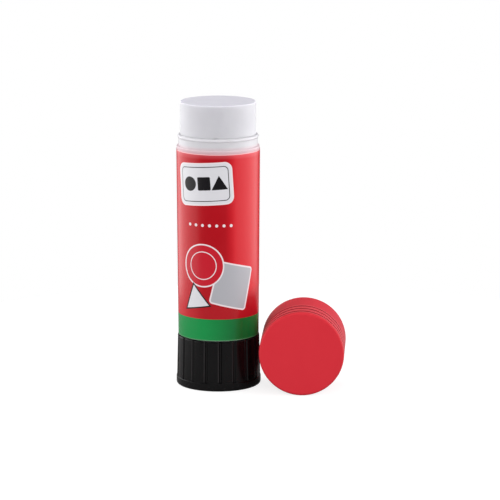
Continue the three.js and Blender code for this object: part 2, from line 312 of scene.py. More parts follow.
def new_piece(name, mesh):
    """A named object at the origin that holds a mesh."""
    mesh.name = name
    piece = bpy.data.objects.new(name, mesh)
    bpy.context.scene.collection.objects.link(piece)
    return piece


def finished_piece(name, mesh):
    """A piece shaded smooth, but for edges that turn sharply."""
    mesh.shade_smooth()
    mesh.set_sharp_from_angle(angle=SHARP_ANGLE)
    piece = new_piece(name, mesh)
    report(piece)
    return piece


def grid_mesh(radii, degrees, heights):
    """Quads over rows and columns of points in millimetres, with each column's degrees round the axis."""
    turn = np.radians(degrees)
    points = np.stack([radii * np.cos(turn), radii * np.sin(turn), heights], axis=-1) * MM
    rows, columns = radii.shape
    row, column = np.meshgrid(np.arange(rows - 1), np.arange(columns - 1), indexing="ij")
    first = (row * columns + column).ravel()
    quads = np.stack([first, first + 1, first + columns + 1, first + columns], axis=1)
    mesh = bpy.data.meshes.new("sector")
    mesh.from_pydata(points.reshape(-1, 3), [], quads)
    return mesh


def repeated(name, mesh, material, copies):
    """A piece made of copies of a mesh, set evenly round the Z axis."""
    sector = new_piece(name, mesh)
    mesh = with_modifier(sector, "NODES", node_group=ROUND_TREE, inputs={
        "Copies": copies, "Merge Distance": MERGE_DISTANCE, "Material": material})
    bpy.data.objects.remove(sector)
    return finished_piece(name, mesh)


def turned(name, profile, material, copies=1, columns=None, shape=None):
    """A closed piece turned from a profile that goes up its outside and down its inside.

    `columns` are the degrees of the sector's columns. `shape` may change the radii over the grid, which is
    how ribs, flutes and notches get in.
    """
    if columns is None:
        columns = np.linspace(0, 360 / copies, 1 + COLUMNS_ROUND // copies)
    radii = np.repeat(profile[:, :1], len(columns), axis=1)
    heights = np.repeat(profile[:, 1:], len(columns), axis=1)
    if shape:
        radii = shape(radii, heights)
    return repeated(name, grid_mesh(radii, columns, heights), material, copies)


def report(piece):
    """Prints how big a mesh is and whether it is one closed skin."""
    uses = np.zeros(len(piece.data.edges), int)
    edges = np.zeros(len(piece.data.loops), np.int32)
    piece.data.loops.foreach_get("edge_index", edges)
    np.add.at(uses, edges, 1)
    size = [round(value / MM, 2) for value in piece.dimensions]
    print(f"{piece.name}: {len(piece.data.polygons)} faces, {size} mm, open edges {int((uses != 2).sum())}")


# %% [markdown]
# ## Surfaces
#
# One function gives every surface its base: a Principled shader with a chain of fine bumps. Its colour and
# roughness wander a little, as real mouldings and film have faint clouds and a slight orange peel.

# %% A common base for the materials
def new_look(name):
    material = bpy.data.materials.new(name)
    material.use_nodes = True
    material.node_tree.nodes.clear()
    return material, Tree(material.node_tree, name)


def placed_look(name):
    """A look with Object coordinates, as three numbers in millimetres and as a vector in metres."""
    material, tree = new_look(name)
    place = tree.add("ShaderNodeTexCoord").outputs["Object"]
    parts = tree.add("ShaderNodeSeparateXYZ", {"Vector": place}).outputs
    return material, tree, [Value(tree, part) / MM for part in parts], place


def noise(tree, place, size_mm, detail=2.0, roughness=0.5):
    """Noise from 0 to 1 whose patches are about `size_mm` across."""
    return tree.value("ShaderNodeTexNoise", {
        "Vector": place, "Scale": 1 / (size_mm * MM), "Detail": detail, "Roughness": roughness})


def mixed(tree, share, first, second):
    """A colour between two colours."""
    node = tree.add("ShaderNodeMix", {"Factor": share, "A": first, "B": second}, data_type="RGBA")
    return node.outputs["Result"]


def finish_look(tree, sockets, bumps):
    """The Principled shader, with a chain of bumps given as (height, depth in millimetres)."""
    normal = None
    for height, depth in bumps:
        wanted = {"Height": height, "Strength": 1.0, "Distance": depth * MM}
        if normal:
            wanted["Normal"] = normal
        normal = tree.value("ShaderNodeBump", wanted)
    shader = tree.value("ShaderNodeBsdfPrincipled", {**sockets, "Normal": normal})
    tree.add("ShaderNodeOutputMaterial", {"Surface": shader})
    print(f"look of {tree.title}: {len(tree.tree.nodes)} nodes")


# %% [markdown]
# ### Red cap plastic
#
# The cap is smooth polypropylene with a good shine. A broad faint cloud changes the colour by a few
# percent, and a finer one changes the roughness. The skirt is painted a little paler than the closed end,
# as painted light that comes through its thin wall. The three fine grooves get painted shade, so they are
# deeper in colour, and they are duller; a painted highlight makes their edges paler.

# %% Cap plastic
cap_low, cap_high = (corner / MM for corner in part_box("cap"))
CAP_RADIUS = (cap_high.x - cap_low.x) / 2
CAP_AXIS = (cap_low + cap_high) / 2
CAP_GROOVES = [3.0, 7.1, 11.2]
CAP_GROOVE_HALF = 0.82
CAP_SKIRT_START = 1.2
CAP_SKIN = 0.6


def inked(distance, soft=0.07):
    """1 inside a shape, where its distance is negative, and 0 outside, with a narrow ramp between."""
    return (0.5 - distance / soft).above(0).below(1)


def make_cap_look():
    material, tree, (across, along, up), place = placed_look("cap plastic")
    cloud = noise(tree, place, 9)
    scuffs = noise(tree, place, 1.4, 6, 0.7)
    red = mixed(tree, cloud, srgb(216, 43, 56), srgb(221, 48, 60))
    right, above = across - CAP_AXIS.x, up - CAP_AXIS.z
    from_axis = right.hypot(above)
    from_middles = [abs(along - cap_low.y - middle) for middle in CAP_GROOVES]
    from_groove = from_middles[0].below(from_middles[1]).below(from_middles[2])
    outside = inked(CAP_RADIUS - CAP_SKIN - from_axis)
    # Painted light: the skirt is paler than the closed end, standing in for light through its thin wall.
    skirt = outside * inked(cap_low.y + CAP_SKIRT_START - along, 0.5)
    red = mixed(tree, skirt * 0.6, red, srgb(238, 66, 80))
    # Painted highlight: pale bands along the edges of the grooves.
    groove_edge_highlight = inked(from_groove - CAP_GROOVE_HALF - 0.7, 0.6) * outside
    red = mixed(tree, groove_edge_highlight * 0.8, red, srgb(255, 108, 118))
    # Painted shade: the grooves are deep red, and they are also rougher.
    in_groove = inked(from_groove - CAP_GROOVE_HALF, 0.3) * outside
    red = mixed(tree, in_groove, red, srgb(150, 0, 8))
    roughness = 0.34 + 0.08 * cloud + 0.05 * scuffs + 0.4 * in_groove
    finish_look(tree, {"Base Color": red, "Roughness": roughness, "Specular IOR Level": 0.35}, [
        (noise(tree, place, 1.1), 0.004), (scuffs, 0.001)])
    return material


CAP_LOOK = make_cap_look()


# %% [markdown]
# ### Black knob plastic
#
# The knob is moulded in a spark-eroded cavity, so it has a fine even grain that breaks up its shine.
# Handling polishes the tops of the ribs, a painted highlight makes one edge of each rib a little paler,
# and the rim that stands on the table is scuffed.

# %% Knob plastic
FLUTES = 18
FIRST_FLUTE = -83.6
SCUFF_TOP_Z = 3.4
HIGHLIGHT_FROM_FLUTE = 0.75
HIGHLIGHT_HALF = 0.2
HIGHLIGHT_FOOT_Z = 3.5
HIGHLIGHT_RADIUS = 14.0


def make_knob_look():
    material, tree, (across, along, up), place = placed_look("knob plastic")
    grain = noise(tree, place, 0.16, 3)
    handling = noise(tree, place, 4)
    near_rim = (1 - up / SCUFF_TOP_Z).above(0).below(1)
    scuffs = (noise(tree, place, 0.8, 8, 0.75) - 0.56).above(0) * near_rim * 6
    black = mixed(tree, scuffs.below(1), srgb(5, 4, 5), srgb(52, 50, 51))
    from_axis = across.hypot(along)
    pitch = 2 * math.pi / FLUTES
    share = (along.math("ARCTAN2", across) - math.radians(FIRST_FLUTE)) / pitch
    from_flute = (share - share.math("ROUND")) * pitch * from_axis
    # Painted highlight: a paler line beside each flute, on the ribs above the rim.
    rib_highlight = inked(abs(from_flute + HIGHLIGHT_FROM_FLUTE) - HIGHLIGHT_HALF, 0.15)
    rib_highlight = rib_highlight * inked(HIGHLIGHT_RADIUS - from_axis) * inked(HIGHLIGHT_FOOT_Z - up, 0.6)
    black = mixed(tree, rib_highlight * (0.4 + handling).below(1), black, srgb(40, 38, 39))
    roughness = 0.20 + 0.10 * handling + 0.15 * scuffs.below(1)
    finish_look(tree, {"Base Color": black, "Roughness": roughness, "Specular IOR Level": 0.38}, [
        (grain, 0.006), (scuffs, 0.01)])
    return material


KNOB_LOOK = make_knob_look()


# %% [markdown]
# ### Milky tube plastic and natural white plastic
#
# The tube is thin milky polypropylene, and light goes a little way into it. Subsurface scattering gives
# that softness. A painted pink glow on the lowest part of the neck stands in for red light from the
# label's edge. The spindle and the carrier are the same plastic, thicker and so more opaque.

# %% Tube and inner plastics
LABEL_TOP_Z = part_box("label")[1].z / MM
LABEL_GLOW_REACH = 2.4


def make_milky_look(name, first, second, depth, weight, label_glow=0.0):
    """`depth` is how far light goes in, in millimetres, and `label_glow` how strong the painted pink light
    beside the label is.
    """
    material, tree, (_, _, up), place = placed_look(name)
    cloud = noise(tree, place, 6)
    flow = noise(tree, place, 1.5, 4)
    white = mixed(tree, cloud, first, second)
    # Painted light: the tube is tinted pink beside the label's top edge, standing in for red light from the
    # label.
    near_label = (1 - abs(up - LABEL_TOP_Z) / LABEL_GLOW_REACH).above(0)
    white = mixed(tree, near_label * label_glow, white, srgb(214, 120, 130))
    finish_look(tree, {
        "Base Color": white, "Roughness": 0.28 + 0.14 * flow, "Subsurface Weight": weight,
        "Subsurface Radius": (1.0, 0.97, 0.97), "Subsurface Scale": depth * MM, "Specular IOR Level": 0.22,
    }, [(flow, 0.004)])
    return material


TUBE_LOOK = make_milky_look("tube plastic", srgb(214, 212, 217), srgb(220, 218, 223), 1.2, 0.6, 0.5)
INNER_LOOK = make_milky_look("inner plastic", srgb(214, 214, 208), srgb(222, 222, 217), 0.8, 0.3)


# %% [markdown]
# ### The glue
#
# Glue of this kind is a cast soap gel: smooth, waxy and off-white. Its top face is painted paler and
# lilac, as painted light from above. Its surface is never quite even, so it gets broad shallow dents and
# a finer skin, and light goes further into it than into the plastics.

# %% Glue
def make_glue_look():
    material, tree, (_, _, up), place = placed_look("glue")
    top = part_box("glue")[1].z / MM
    fade = 0.5
    # Painted light: the top face is paler and more lilac than the sides.
    on_top = ((up - top + fade) / fade).above(0).below(1)
    cloud = noise(tree, place, 5)
    body = mixed(tree, cloud, srgb(207, 206, 211), srgb(213, 212, 217))
    face = mixed(tree, cloud, srgb(213, 211, 222), srgb(219, 217, 227))
    skin = noise(tree, place, 0.7, 4, 0.6)
    finish_look(tree, {
        "Base Color": mixed(tree, on_top, body, face), "Roughness": 0.44 + 0.16 * skin,
        "Subsurface Weight": 1.0, "Subsurface Radius": (1.0, 0.95, 1.0), "Subsurface Scale": 2.0 * MM,
        "Specular IOR Level": 0.1,
    }, [(noise(tree, place, 4), 0.05), (skin, 0.006)])
    return material


GLUE_LOOK = make_glue_look()

# %% [markdown]
# ### The printed label
#
# The label is glossy film, printed red with a green band at the foot. The print is drawn by arithmetic
# on two lengths: how far round the tube a point is from the front, and how high up it is. A signed
# distance is negative inside a shape, so shapes are joined with a minimum and cut with a maximum, and a
# narrow ramp at zero gives a clean printed edge at any zoom. The design is a plain one: a pale panel with
# three black shapes, and cut-paper shapes below it. On top of the print, painted light makes the red
# lighter round the sides and just under the top edge than in front, and painted shade from the cap makes
# the green band and the red darker low down beside it.

# %% Signed distances
class Print:
    """Places on the label: millimetres round from the front, and up from the table."""

    def __init__(self, around, up):
        self.around = around
        self.up = up

    def at(self, around, up, degrees=0.0):
        """The same places seen from a shape's own middle, turned with it."""
        turn = math.radians(degrees)
        right = self.around - around
        above = self.up - up
        return Print(right * math.cos(turn) + above * math.sin(turn),
                     above * math.cos(turn) - right * math.sin(turn))

    def disc(self, radius):
        return self.around.hypot(self.up) - radius

    def slab(self, half_width, half_height, corner):
        """A rectangle with round corners."""
        right = abs(self.around) - (half_width - corner)
        above = abs(self.up) - (half_height - corner)
        outside = right.above(0).hypot(above.above(0))
        return outside + right.above(above).below(0) - corner

    def triangle(self, reach):
        """An even triangle that stands on its base; its sides lie `reach` from the middle."""
        slope = math.radians(30)
        sides = abs(self.around) * math.cos(slope) + self.up * math.sin(slope)
        return sides.above(self.up * -1) - reach


# %% Label film
LABEL_LOW, LABEL_HIGH = (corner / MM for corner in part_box("label"))
LABEL_RADIUS = 14.8
PRINT_TURN = math.radians(3.25)
BAND_TOP = 26.5
MARGIN = 0.3
SHADE_TOP_Z = 33.5
SHADE_END = 16.0
BESIDE_CAP = 9.0
SHADE_REACH = 14.0
PALE = srgb(222, 221, 226)
GREY = srgb(178, 178, 184)
WHITE = srgb(238, 226, 230)
INK = srgb(27, 25, 28)


def make_label_look():
    material, tree, (across, along, up), place = placed_look("label film")
    angle = across.math("ARCTAN2", along * -1) - PRINT_TURN
    paper = Print(angle * LABEL_RADIUS, up)
    cloud = noise(tree, place, 7)
    # Painted light: the red is lighter round the sides, but low on the right beside the cap it stays darker,
    # as painted shade.
    above_cap = ((up - SHADE_TOP_Z) / 4).above((paper.around - SHADE_END) / 8).above(0).below(1)
    to_right = ((paper.around - 2.6) / 3.8).above(0).below(1) * above_cap
    painted_side_light = to_right.above((paper.around + 5) / -16).below(1)
    red = mixed(tree, painted_side_light, mixed(tree, cloud, srgb(176, 15, 27), srgb(182, 20, 32)),
                mixed(tree, cloud, srgb(212, 22, 36), srgb(218, 27, 41)))
    # Painted shade: the green band is darker beside the cap.
    painted_cap_shade = (1 - abs(paper.around - BESIDE_CAP) / SHADE_REACH).above(0)
    green = mixed(tree, painted_cap_shade, mixed(tree, cloud, srgb(9, 141, 68), srgb(13, 147, 73)),
                  mixed(tree, cloud, srgb(6, 98, 42), srgb(8, 103, 46)))
    colour = mixed(tree, inked(up - BAND_TOP), red, green)
    # Painted light: a pale pink band just under the top edge.
    colour = mixed(tree, inked(LABEL_HIGH.z - 1.3 - up, 1.4) * 0.3, colour, srgb(240, 120, 130))
    colour = mixed(tree, inked(LABEL_HIGH.z - MARGIN - up, 0.15), colour, srgb(246, 190, 196))
    colour = mixed(tree, inked(up - LABEL_LOW.z - MARGIN, 0.15), colour, srgb(84, 152, 102))

    panel = paper.at(-5.3, 75.4, 4)
    dots = paper.at(-3.0, 60.6)
    pitch = 2.6
    half_row = 3.5 * pitch
    nearest = dots.around / pitch
    offset = (nearest - nearest.math("ROUND")) * pitch
    row = Print(offset, dots.up).disc(0.55).above(abs(dots.around) - half_row)
    sheet = paper.at(5.4, 38.6, -14)
    disc = paper.at(-5.6, 46.0)
    wedge = paper.at(-8.4, 33.4, 10)
    for distance, ink, *outline in [
        (panel.slab(10.4, 7.2, 2.4), PALE, 0.45, WHITE),
        (abs(panel.slab(9.3, 6.1, 1.6)) - 0.14, INK),
        (panel.at(-5.4, 0.2).disc(2.6), INK),
        (panel.at(0.3, 0.2).slab(2.4, 2.4, 0.4), INK),
        (panel.at(5.9, -0.5).triangle(1.7), INK),
        (row, WHITE),
        (sheet.slab(6.6, 7.4, 0.7), GREY, 0.55, WHITE),
        (disc.disc(7.4), srgb(200, 32, 48), 0.5, WHITE),
        (abs(disc.disc(5.0)) - 0.16, WHITE),
        (wedge.triangle(2.7), PALE, 0.5, INK),
    ]:
        if outline:
            width, line = outline
            colour = mixed(tree, inked(distance - width), colour, line)
        colour = mixed(tree, inked(distance), colour, ink)

    fine = noise(tree, place, 0.5, 3)
    roughness = 0.16 + 0.07 * cloud + 0.05 * fine
    finish_look(tree, {"Base Color": colour, "Roughness": roughness, "Specular IOR Level": 0.5}, [
        (noise(tree, place, 12, 1), 0.03), (fine, 0.0008)])
    return material


LABEL_LOOK = make_label_look()

# %% [markdown]
# ## The tube
#
# The tube is one thin moulding: a snap collar at its foot, a floor with a hole for the spindle, a long
# bore with four guide ribs, and a neck with a bead that holds the cap. It is four equal quarters, so one
# quarter is made and repeated. Columns crowd together at the rib, and there the bore's rows are pulled
# inwards below the rib's end. The real glue is cast in the tube and fills its bore. The model leaves a gap
# to slide in, which would show as a dark ring, so a thin lip at the mouth closes most of it.

# %% Sizes of the tube
tube_low, tube_high = (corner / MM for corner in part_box("tube"))
_, knob_high = (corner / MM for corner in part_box("base_knob"))
_, glue_high = (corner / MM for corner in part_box("glue"))
FIT_GAP = 0.3
SLIDE_GAP = 0.2
LIP_GAP = 0.03
LIP_DEPTH = 0.3
GLUE_RADIUS = glue_high.x
BORE_RADIUS = GLUE_RADIUS + SLIDE_GAP
LIP_RADIUS = GLUE_RADIUS + LIP_GAP
NECK_WALL = 0.4
NECK_RADIUS = BORE_RADIUS + NECK_WALL
FOOT_WALL = 0.61
TUBE_RADIUS_FOOT = BORE_RADIUS + FOOT_WALL
TUBE_RADIUS_TOP = tube_high.x
COLLAR_STEP = 1.41
COLLAR_RADIUS = TUBE_RADIUS_FOOT - COLLAR_STEP
COLLAR_WALL = 1.0
COLLAR_END_Z = tube_low.z
SNAP_Z = COLLAR_END_Z + 2.9
TUBE_FOOT_Z = knob_high.z + FIT_GAP
FLOOR_THICKNESS = 1.3
TUBE_FLOOR_Z = TUBE_FOOT_Z + FLOOR_THICKNESS
TUBE_HEIGHT = 68.9
SHOULDER_Z = TUBE_FOOT_Z + TUBE_HEIGHT
MOUTH_Z = tube_high.z
BEAD_Z = MOUTH_Z - 0.72
RIBS = 4
RIB_END_Z = MOUTH_Z - 12.0
RIB_HALF = 0.6
RIB_SLOPE = 0.06
RIB_DEPTH = 0.6
FLOOR_HOLE_RADIUS = 4.2
print(f"bore {2 * BORE_RADIUS:.1f} mm, shoulder at {SHOULDER_Z:.1f} mm, mouth at {MOUTH_Z:.1f} mm")


# %% Tube
def ring(radius, middle, stands_out, flat, flank, edge):
    """Four corners of a raised ring, going up."""
    return [
        (radius, middle - flat / 2 - flank, edge), (radius + stands_out, middle - flat / 2, edge),
        (radius + stands_out, middle + flat / 2, edge), (radius, middle + flat / 2 + flank, edge),
    ]


def columns_across(copies, radius, foot, top, edges, widest=0.9):
    """Columns over one sector with a rib, a groove or a tooth in its middle, and crowded there.

    `foot` and `top` are its half widths in millimetres, where it starts and where it is full, and `edges`
    are the rounds there. Gives the columns' degrees and how deep it is at each, from 0 to 1.
    """
    half = math.pi * radius / copies
    foot_edge, top_edge = edges
    line = traced([
        (-half, 0, 0), (-foot, 0, foot_edge), (-top, 1, top_edge),
        (top, 1, top_edge), (foot, 0, foot_edge), (half, 0, 0),
    ], widest, 0.1)
    return np.degrees(line[:, 0] / radius), line[:, 1]


def make_tube():
    inner = COLLAR_RADIUS - COLLAR_WALL
    chamfer = 0.33
    profile = traced([
        (inner, COLLAR_END_Z, 0.15),
        (COLLAR_RADIUS - chamfer, COLLAR_END_Z, 0.15), (COLLAR_RADIUS, COLLAR_END_Z + chamfer, 0.15),
        *ring(COLLAR_RADIUS, SNAP_Z, stands_out=0.4, flat=0.4, flank=0.6, edge=0.15),
        (COLLAR_RADIUS, TUBE_FOOT_Z, 0.1),
        (TUBE_RADIUS_FOOT, TUBE_FOOT_Z, 0.2),
        (TUBE_RADIUS_TOP, SHOULDER_Z, 0.3),
        (NECK_RADIUS, SHOULDER_Z, 0.25),
        *ring(NECK_RADIUS, BEAD_Z, stands_out=0.35, flat=0.3, flank=0.4, edge=0.2),
        (LIP_RADIUS + 0.05, MOUTH_Z, 0.05), (LIP_RADIUS, MOUTH_Z - LIP_DEPTH / 2, 0.05),
        (BORE_RADIUS, MOUTH_Z - LIP_DEPTH, 0.05),
        (BORE_RADIUS, RIB_END_Z, 0), (BORE_RADIUS, RIB_END_Z - RIB_DEPTH / 2, 0),
        (BORE_RADIUS, TUBE_FLOOR_Z, 0.2), (FLOOR_HOLE_RADIUS, TUBE_FLOOR_Z, 0.15),
        (FLOOR_HOLE_RADIUS, TUBE_FOOT_Z, 0.15), (inner, TUBE_FOOT_Z, 0.3),
        (inner, COLLAR_END_Z, 0.15),
    ])
    columns, depth = columns_across(
        RIBS, BORE_RADIUS, foot=RIB_HALF + RIB_SLOPE, top=RIB_HALF - RIB_SLOPE, edges=(0.1, 0.1))

    def with_ribs(radii, heights):
        hair = 0.02
        in_bore = (abs(radii - BORE_RADIUS) < hair) & (heights > TUBE_FLOOR_Z)
        rises = np.clip((RIB_END_Z - heights) / (RIB_DEPTH / 2), 0, 1)
        return np.where(in_bore, radii - RIB_DEPTH * depth * rises, radii)

    return turned("tube_moulding", profile, TUBE_LOOK, RIBS, columns, with_ribs)


tube = make_tube()
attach(tube, "tube_body")
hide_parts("tube")

# %% [markdown]
# ## The label
#
# The film goes once round the tube and ends on itself, in a narrow overlap at the back. It is turned like
# the tube, with a step of one film thickness where the overlap starts.

# %% Label
FILM = 0.11
FILM_GAP = 0.03
LAP_RISE = 0.8
OVERLAP_DEGREES = (82.0, 97.0)


def tube_radius(z):
    """The drafted outside of the tube at a height."""
    share = (z - TUBE_FOOT_Z) / (SHOULDER_Z - TUBE_FOOT_Z)
    return TUBE_RADIUS_FOOT + share * (TUBE_RADIUS_TOP - TUBE_RADIUS_FOOT)


def make_label():
    low, high = LABEL_LOW.z, LABEL_HIGH.z
    inside_low, inside_high = tube_radius(low) + FILM_GAP, tube_radius(high) + FILM_GAP
    edge = 0.04
    profile = traced([
        (inside_low, low, 0), (inside_low + FILM, low, edge), (inside_high + FILM, high, edge),
        (inside_high, high, 0), (inside_low, low, 0),
    ], 2.0, 0.05)
    start, end = OVERLAP_DEGREES
    step = 0.5
    bends = [start - step, start, end, end + step]
    columns = np.unique(np.concatenate([np.linspace(0, 360, COLUMNS_ROUND + 1), bends]))
    in_lap = np.interp(columns, bends, [0, 1, 1, 0], left=0, right=0)

    def lapped(radii, heights):
        skin = tube_radius(heights) + FILM_GAP
        on_outside = np.clip((radii - skin) / FILM, 0, 1)
        return radii + LAP_RISE * FILM * on_outside * in_lap

    return turned("label_film", profile, LABEL_LOOK, 1, columns, lapped)


label = make_label()
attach(label, "tube_body")
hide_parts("label")

# %% [markdown]
# ## The knob
#
# The knob is a cup with eighteen narrow flutes for the fingers, a smooth rim at the foot, a groove inside
# for the collar's snap ring and a post with a splined socket for the spindle. The cup is one flute
# repeated eighteen times, the post is one tooth repeated eight times, and a union makes them one solid.

# %% Knob
KNOB_TOP = knob_high.z
RIM_RADIUS = knob_high.x
KNOB_BORE = COLLAR_RADIUS + FIT_GAP
KNOB_WALL_TOP = 1.45
KNOB_WALL_FOOT = 1.8
KNOB_RADIUS_TOP = KNOB_BORE + KNOB_WALL_TOP
KNOB_RADIUS_FOOT = KNOB_BORE + KNOB_WALL_FOOT
KNOB_FLOOR = 1.6
RIM_HEIGHT = 3.0
FLUTE_DEPTH = 0.45
FLUTE_RAMP = 0.1
POST_RADIUS = 7.2
SOCKET_RADIUS = 4.2
SOCKET_TOP = 16.3
SPLINES = 8
SPLINE_HEIGHT = 0.8


def joined(name, first, second, operation="UNION"):
    """Two closed pieces as one solid, or the first with the second cut out of it."""
    mesh = with_modifier(first, "BOOLEAN", object=second, operation=operation, solver="MANIFOLD")
    for part in (first, second):
        bpy.data.objects.remove(part)
    return finished_piece(name, mesh)


def spline_columns(radius):
    """Columns over one spline tooth, for the socket and for the spindle's foot."""
    half_pitch = math.pi * radius / SPLINES
    return columns_across(
        SPLINES, radius, foot=0.64 * half_pitch, top=0.4 * half_pitch, edges=(0.08, 0.08), widest=0.5)


def make_cup():
    """The fluted cup of the knob."""
    profile = traced([
        (0, 0, 0), (RIM_RADIUS, 0, 0.9), (RIM_RADIUS, RIM_HEIGHT - 0.1, 0.25),
        (KNOB_RADIUS_FOOT, RIM_HEIGHT, 0.05), (KNOB_RADIUS_FOOT, RIM_HEIGHT + 0.12, 0),
        (KNOB_RADIUS_TOP, KNOB_TOP, 0.3), (KNOB_BORE, KNOB_TOP, 0.2),
        *ring(KNOB_BORE, SNAP_Z, stands_out=0.4, flat=1.0, flank=0.6, edge=0.15)[::-1],
        (KNOB_BORE, KNOB_FLOOR, 0.3), (0, KNOB_FLOOR, 0),
    ])
    columns, depth = columns_across(
        FLUTES, KNOB_RADIUS_FOOT, foot=0.65, top=0.28, edges=(0.35, 0.1), widest=0.7)

    def fluted(radii, heights):
        on_wall = (radii > KNOB_BORE + 0.8) & (heights > RIM_HEIGHT)
        deep = np.clip((heights - RIM_HEIGHT) / FLUTE_RAMP, 0, 1)
        return np.where(on_wall, radii - FLUTE_DEPTH * depth * deep, radii)

    return turned("cup", profile, KNOB_LOOK, FLUTES, columns + FIRST_FLUTE, fluted)


def make_post():
    """The post in the cup, with the splined socket down its middle."""
    foot, floor = KNOB_FLOOR / 2, KNOB_FLOOR + 0.02
    profile = traced([
        (0, foot, 0), (POST_RADIUS, foot, 0), (POST_RADIUS, SOCKET_TOP, 0.2),
        (SOCKET_RADIUS, SOCKET_TOP, 0.15), (SOCKET_RADIUS, floor, 0), (0, floor, 0),
    ])
    columns, teeth = spline_columns(SOCKET_RADIUS)

    def toothed(radii, heights):
        in_socket = (radii > 0.1) & (radii < SOCKET_RADIUS + 0.3) & (heights > KNOB_FLOOR)
        return np.where(in_socket, radii + SPLINE_HEIGHT * teeth, radii)

    return turned("post", profile, KNOB_LOOK, SPLINES, columns, toothed)


knob = joined("knob_moulding", make_cup(), make_post())
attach(knob, "knob_body")
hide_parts("base_knob")

# %% [markdown]
# ## The glue
#
# The stick of glue is cast into the tube from above, so it carries the marks of the tube's four ribs as
# grooves and of the carrier's four fins as slots, and it is hollow round the spindle. Its top edge is only
# slightly rounded, as it is before first use. The slots are four straight bars, repeated by the same tree
# and cut out of the turned stick.

# %% Cast glue
carrier_low, carrier_high = (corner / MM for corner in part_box("glue_carrier"))
CARRIER_Z = carrier_low.z
CARRIER_TOP = carrier_high.z
LOWEST_GAP = 0.6
WOUND_OUT = CARRIER_Z - TUBE_FLOOR_Z - LOWEST_GAP
CARRIER_RADIUS = BORE_RADIUS - FIT_GAP
CUP_WALL = 1.2
CUP_RADIUS = CARRIER_RADIUS - CUP_WALL
CUP_FLOOR_Z = CARRIER_Z + CUP_WALL
HUB_RADIUS = 5.6
WELL_RADIUS = 4.1
SOLID_TOP = 3.5
GROOVE_HALF = RIB_HALF + FIT_GAP
GROOVE_RADIUS = GLUE_RADIUS - 0.7
GROOVE_RUNOUT = 0.6
FINS = 4
FIN_HALF = 0.45
FIN_HEIGHT = 6.0
FIN_TOP_Z = CUP_FLOOR_Z + FIN_HEIGHT
print(f"the glue stands {WOUND_OUT:.1f} mm above its lowest place")


def bars(name, half_width, low, high, inner, outer, copies, material):
    """Upright bars that reach outwards between two radii, half a pitch round from the X axis."""
    outline = rounded([
        (-half_width, low, 0), (-half_width, high, 0.2), (half_width, high, 0.2), (half_width, low, 0)])
    count = len(outline)
    points = [(radius, sideways, height) for radius in (inner, outer) for sideways, height in outline]
    faces = [(i, i + count, (i + 1) % count + count, (i + 1) % count) for i in range(count)]
    faces += [tuple(range(count)), tuple(range(2 * count - 1, count - 1, -1))]
    mesh = bpy.data.meshes.new(name)
    mesh.from_pydata([Vector(point) * MM for point in points], [], faces)
    mesh.transform(Matrix.Rotation(math.pi / copies, 4, "Z"))
    return repeated(name, mesh, material, copies)


def make_glue():
    top = glue_high.z
    foot = CUP_FLOOR_Z + FIT_GAP
    seat = CARRIER_TOP + FIT_GAP
    groove_end = RIB_END_Z + WOUND_OUT + FIT_GAP
    profile = traced([
        (HUB_RADIUS + FIT_GAP, foot, 0), (CUP_RADIUS - FIT_GAP, foot, 0.2), (CUP_RADIUS - FIT_GAP, seat, 0.1),
        (GLUE_RADIUS, seat, 0.2), (GLUE_RADIUS, groove_end - GROOVE_RUNOUT, 0), (GLUE_RADIUS, groove_end, 0),
        (GLUE_RADIUS, top, 0.2), (0, top, 0),
    ], 1.5)
    well = traced([
        (0, top - SOLID_TOP, 0), (WELL_RADIUS, top - SOLID_TOP, 0.3), (WELL_RADIUS, seat, 0.1),
        (HUB_RADIUS + FIT_GAP, seat, 0.1), (HUB_RADIUS + FIT_GAP, foot, 0),
    ])
    profile = np.concatenate([well, profile[1:]])
    columns, depth = columns_across(
        RIBS, GLUE_RADIUS, foot=GROOVE_HALF, top=GROOVE_HALF - 0.1, edges=(0.15, 0.12))

    def grooved(radii, heights):
        on_side = (radii > GLUE_RADIUS - 0.6) & (heights > seat - 0.01)
        deep = np.clip((groove_end - heights) / GROOVE_RUNOUT, 0, 1)
        cut = radii - (radii - GROOVE_RADIUS).clip(0) * depth * deep
        return np.where(on_side, cut, radii)

    stick = turned("stick", profile, GLUE_LOOK, RIBS, columns, grooved)
    slots = bars("slots", FIN_HALF + FIT_GAP, CARRIER_Z, FIN_TOP_Z + FIT_GAP,
                 WELL_RADIUS, CARRIER_RADIUS, FINS, GLUE_LOOK)
    return joined("glue_cast", stick, slots, "DIFFERENCE")


glue = make_glue()
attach(glue, "carrier_body")
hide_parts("glue")

# %% [markdown]
# ## The cap
#
# The cap is a deep cup that lies on its side. It has three fine grooves near its closed end, a catch inside
# for the neck's bead and a step where the mouth of the tube seats. It is turned upright and then laid
# down with its axis along Y.

# %% Cap
CAP_LENGTH = cap_high.y - cap_low.y
CAP_WALL = 0.5
CAP_BORE = CAP_RADIUS - CAP_WALL
CAP_END_THICKNESS = 1.4
CAP_SEAT_STEP = 0.8
CATCH_FROM_MOUTH = 1.83
CAP_COLUMNS = 240


